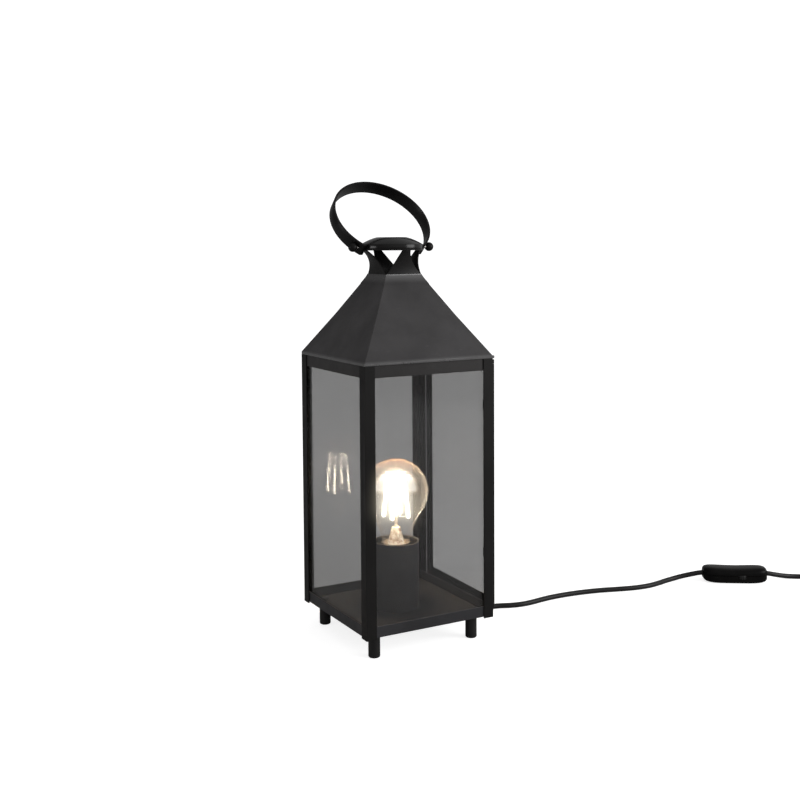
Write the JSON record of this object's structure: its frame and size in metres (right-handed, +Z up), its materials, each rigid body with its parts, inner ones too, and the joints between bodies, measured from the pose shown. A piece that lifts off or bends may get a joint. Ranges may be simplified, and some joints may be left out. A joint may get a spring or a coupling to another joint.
{
  "type": "lantern table lamp",
  "caption": "Square steel lantern lamp with smoked panes, a hinged glazed door, a crowned roof with carrying ring, a filament bulb, and a cord with an in-line switch.",
  "frame": {"origin": "on the surface the lamp stands on, under the middle of the lantern's bounding box without its cord; the lantern's own axis is 4.1 mm towards -X because the door stands ajar on the +X side", "axes": "+Z up, +X towards the door and the side where the cord leaves, +Y towards the back; the carrying ring leans towards +Y"},
  "size_m": [0.6835, 0.1963, 0.4201],
  "materials": {
    "black_steel": "satin blackened sheet steel with faint hand-worked waviness",
    "roof_steel": "satin dark bronze-grey sheet steel, brushed along the slope",
    "tray_steel": "satin dark grey sheet steel",
    "bare_steel": "dull plated steel",
    "brass": "plain turned brass",
    "smoked_glass": "clear polished grey-tinted glass",
    "bulb_glass": "clear warm-tinted blown glass",
    "stem_glass": "clear pressed glass",
    "filament": "glowing phosphor-coated filament sticks",
    "nickel": "bright nickel plate",
    "black_plastic": "fine-grained moulded plastic",
    "bakelite": "smooth black moulding",
    "cord_sheath": "smooth satin black sheath",
    "wire": "coloured wire insulation"
  },
  "bodies": {
    "lantern": {"corner_post_1": "black_steel", "corner_post_2": "black_steel", "corner_post_3": "black_steel", "corner_post_4": "black_steel", "base_tray": "tray_steel", "foot_1": "black_steel", "foot_2": "black_steel", "foot_3": "black_steel", "foot_4": "black_steel", "foot_screws": "bare_steel", "top_frame": "black_steel", "pane_1": "smoked_glass", "pane_2": "smoked_glass", "pane_3": "smoked_glass", "pane_clips": "black_steel", "hinge_rod": "bare_steel", "hinge_knuckles": "black_steel", "catch_magnet": "nickel", "roof": "roof_steel", "crown": "black_steel", "cap": "black_steel", "cap_plate": "black_steel", "lampholder_tube": "tray_steel", "nipple": "brass", "nipple_nuts": "brass", "lampholder": "bakelite", "screw_shell": "brass", "centre_contact": "brass", "conductors": "wire", "bulb_glass": "bulb_glass", "bulb_cap": "nickel", "bulb_base": "bakelite", "bulb_stem": "stem_glass", "filament_leads": "bare_steel", "filament_1": "filament", "filament_2": "filament", "filament_3": "filament", "filament_4": "filament", "cord_outlet": "black_plastic", "outlet_screws": "bare_steel", "cord_boot": "cord_sheath", "cord_lead": "cord_sheath", "cord_tail": "cord_sheath", "cord_coil": "cord_sheath", "cord_end": "cord_sheath", "switch_lower": "black_plastic", "switch_upper": "black_plastic", "switch_screws": "bare_steel", "plug_body": "black_plastic", "plug_pins": "nickel"},
    "handle": {"handle_ring": "black_steel", "handle_rod": "bare_steel", "handle_ball_1": "black_steel", "handle_ball_2": "black_steel", "handle_spacers": "bare_steel"},
    "door": {"door_frame": "black_steel", "door_glass": "smoked_glass"},
    "thumbwheel": {"switch_wheel": "black_plastic"}
  },
  "joints": [
    {"name": "handle_hinge", "type": "hinge", "parent": "lantern", "child": "handle", "pos_m": [-0.0068, 0, 0.358], "axis": [1, 0, 0], "range_deg": [-96, 180]},
    {"name": "door_hinge", "type": "hinge", "parent": "lantern", "child": "door", "pos_m": [0.0629, -0.061, 0.142], "axis": [0, 0, 1], "range_deg": [-110, 1.9]},
    {"name": "wheel_hinge", "type": "hinge", "parent": "lantern", "child": "thumbwheel", "pos_m": [0.38104, -0.05659, 0.0074], "axis": [0, 0, 1], "range_deg": [0, 90]}
  ]
}
